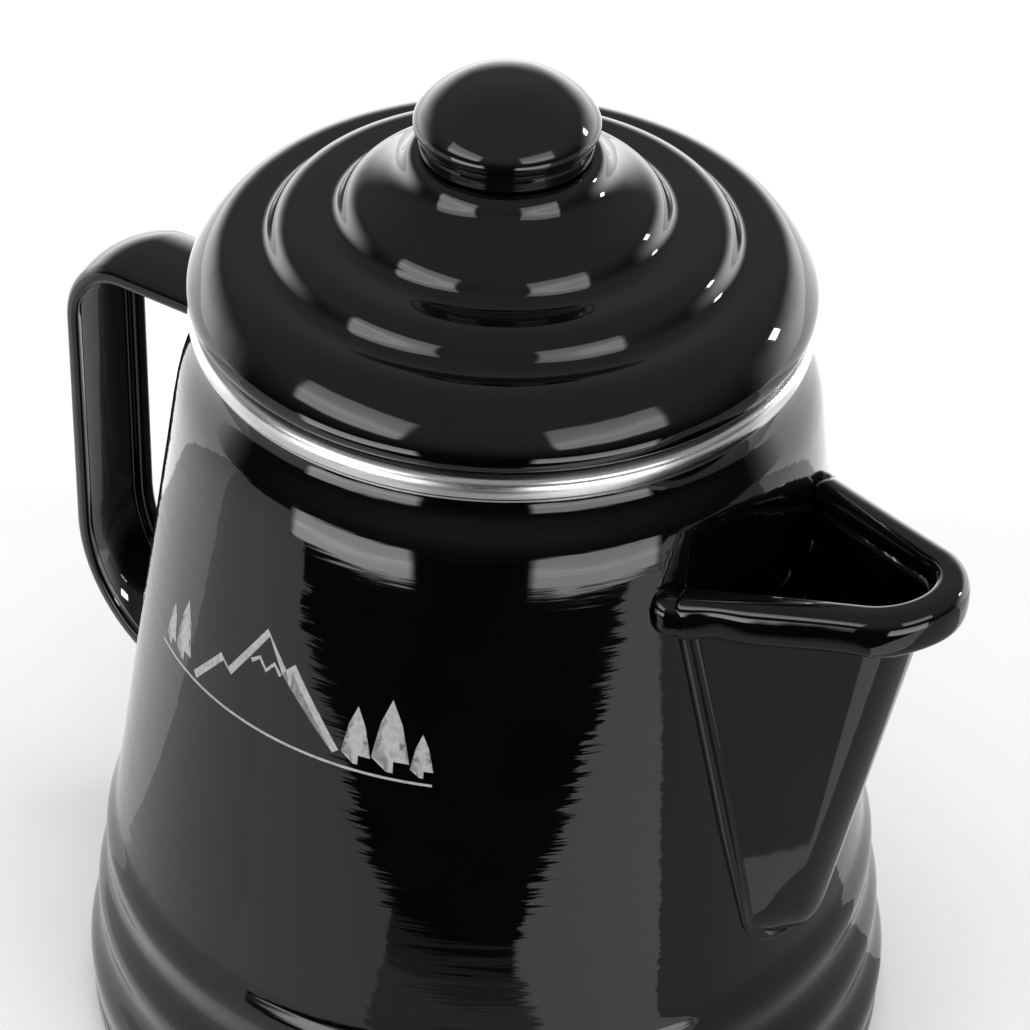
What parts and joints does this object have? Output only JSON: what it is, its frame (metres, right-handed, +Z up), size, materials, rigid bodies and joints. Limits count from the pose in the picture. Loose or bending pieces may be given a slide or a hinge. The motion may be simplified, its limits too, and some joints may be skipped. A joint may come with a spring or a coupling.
{
  "type": "coffee percolator",
  "caption": "Conical enamelled camping percolator with ringed lid and knob, V-shaped spout, strap handle, steel mouth ring and a lift-out riser, basket and spreader.",
  "frame": {"origin": "on the pot's axis at the underside of its base", "axes": "+Z up along the pot's axis, +X towards the spout, -X towards the handle"},
  "size_m": [0.2084, 0.1624, 0.211],
  "materials": {
    "enamel": "black vitreous enamel on steel, high gloss",
    "knob_black": "glossy black moulded phenolic",
    "rim_steel": "bright polished stainless ring",
    "insert_steel": "satin stainless sheet and tube",
    "brass": "turned brass",
    "seal": "matt food-safe rubber"
  },
  "bodies": {
    "pot": {"pot_body": "enamel", "pot_base": "enamel", "mouth_rim": "rim_steel", "spout": "enamel", "handle_strap": "enamel", "handle_upper_foot": "enamel", "handle_lower_foot": "enamel"},
    "riser": {"riser_tube": "insert_steel", "riser_bell": "insert_steel", "basket_stop": "insert_steel"},
    "basket": {"basket_cup": "insert_steel", "basket_sleeve": "insert_steel"},
    "spreader": {"cover_plate": "insert_steel", "cover_sleeve": "insert_steel"},
    "lid": {"lid_shell": "enamel", "lid_collar": "enamel", "lid_knob": "knob_black", "knob_gasket": "seal", "knob_insert": "brass", "screw_washer": "insert_steel", "knob_screw": "insert_steel"}
  },
  "joints": [
    {"name": "riser_lift", "type": "slide", "parent": "pot", "child": "riser", "axis": [0, 0, 1], "range_m": [0, 0.17]},
    {"name": "basket_lift", "type": "slide", "parent": "riser", "child": "basket", "axis": [0, 0, 1], "range_m": [0, 0.1]},
    {"name": "spreader_lift", "type": "slide", "parent": "basket", "child": "spreader", "axis": [0, 0, 1], "range_m": [0, 0.05]},
    {"name": "lid_lift", "type": "slide", "parent": "spreader", "child": "lid", "axis": [0, 0, 1], "range_m": [0, 0.06]}
  ]
}
